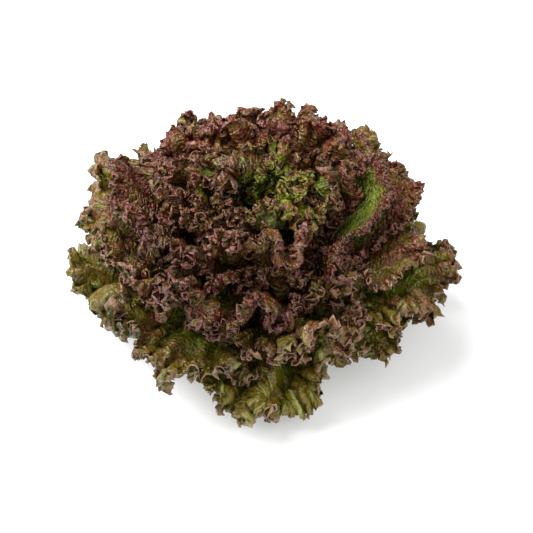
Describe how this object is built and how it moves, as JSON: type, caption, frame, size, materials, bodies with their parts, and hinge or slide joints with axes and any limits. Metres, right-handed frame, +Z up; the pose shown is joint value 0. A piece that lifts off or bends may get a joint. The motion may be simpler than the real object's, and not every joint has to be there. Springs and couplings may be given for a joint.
{
  "type": "red frilled lettuce head",
  "caption": "Open head of red loose-leaf lettuce, standing on its cut stem, with drooping outer leaves, an upright heart and tightly frilled burgundy edges.",
  "frame": {"origin": "centre of the flat cut face of the stem, at the surface that the head stands on", "axes": "+Z up along the stem, -Y towards the front of the head as pictured, +X to the viewer's right"},
  "size_m": [0.2748, 0.2502, 0.1561],
  "materials": {
    "stem": "moist pale green stalk with a fibrous cut face, browning at the cut",
    "outer_leaf": "satin leaf, olive green flushed brown-red, with tan and pink edges",
    "middle_leaf": "satin puckered leaf, burgundy over green, with paler red edges",
    "heart_leaf": "satin young leaf, yellow green flushed burgundy at the edges"
  },
  "bodies": {
    "root": {"stem": "stem", "outer_leaf_01": "outer_leaf", "outer_leaf_02": "outer_leaf", "outer_leaf_03": "outer_leaf", "outer_leaf_04": "outer_leaf", "outer_leaf_05": "outer_leaf", "outer_leaf_06": "outer_leaf", "outer_leaf_07": "outer_leaf", "outer_leaf_08": "outer_leaf", "outer_leaf_09": "outer_leaf", "outer_leaf_10": "outer_leaf", "outer_leaf_11": "outer_leaf", "outer_leaf_12": "outer_leaf", "middle_leaf_01": "middle_leaf", "middle_leaf_02": "middle_leaf", "middle_leaf_03": "middle_leaf", "middle_leaf_04": "middle_leaf", "middle_leaf_05": "middle_leaf", "middle_leaf_06": "middle_leaf", "middle_leaf_07": "middle_leaf", "middle_leaf_08": "middle_leaf", "middle_leaf_09": "middle_leaf", "middle_leaf_10": "middle_leaf", "middle_leaf_11": "middle_leaf", "middle_leaf_12": "middle_leaf", "middle_leaf_13": "middle_leaf", "middle_leaf_14": "middle_leaf", "heart_leaf_01": "heart_leaf", "heart_leaf_02": "heart_leaf", "heart_leaf_03": "heart_leaf", "heart_leaf_04": "heart_leaf", "heart_leaf_05": "heart_leaf", "heart_leaf_06": "heart_leaf", "heart_leaf_07": "heart_leaf", "heart_leaf_08": "heart_leaf", "heart_leaf_09": "heart_leaf", "heart_leaf_10": "heart_leaf"}
  },
  "joints": []
}
